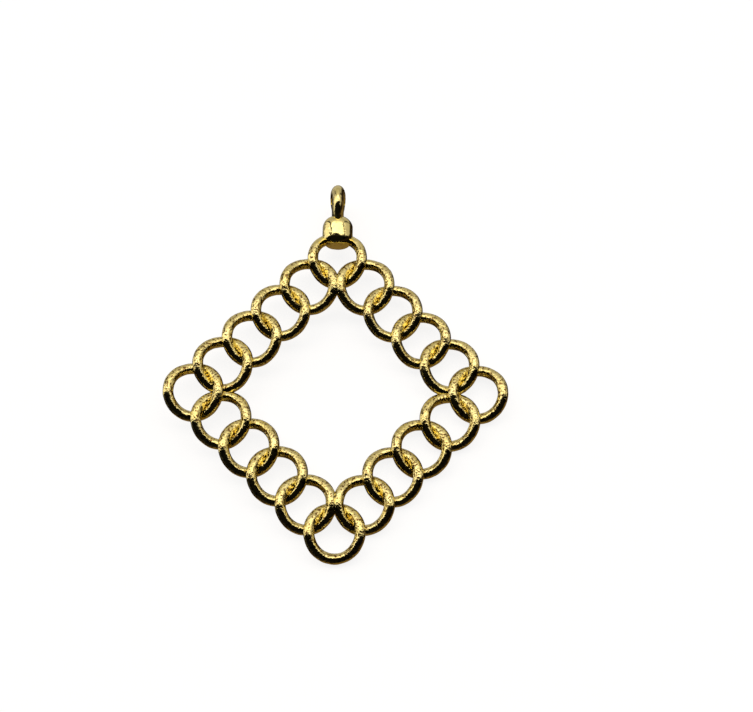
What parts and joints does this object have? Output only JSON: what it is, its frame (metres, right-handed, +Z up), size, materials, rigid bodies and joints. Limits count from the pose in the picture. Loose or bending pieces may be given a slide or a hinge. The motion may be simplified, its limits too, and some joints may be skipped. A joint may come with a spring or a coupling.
{
  "type": "earring base",
  "caption": "Flat open diamond of overlapping saddle-bent wire rings cast in one piece, with a round neck bead and a thick side-facing hanging loop, a domed disc with a hole, at the top corner.",
  "frame": {"origin": "on the surface that the part lies on, under the middle of its whole outline", "axes": "+Z up from the surface, +Y from the middle of the diamond towards the hanging loop, +X to the right of the diamond seen from above with the loop at the top"},
  "size_m": [0.0303, 0.0347, 0.0044],
  "materials": {
    "gold_plate": "polished gold plating over a fine cast texture"
  },
  "bodies": {
    "root": {"earring_base": "gold_plate"}
  },
  "joints": []
}
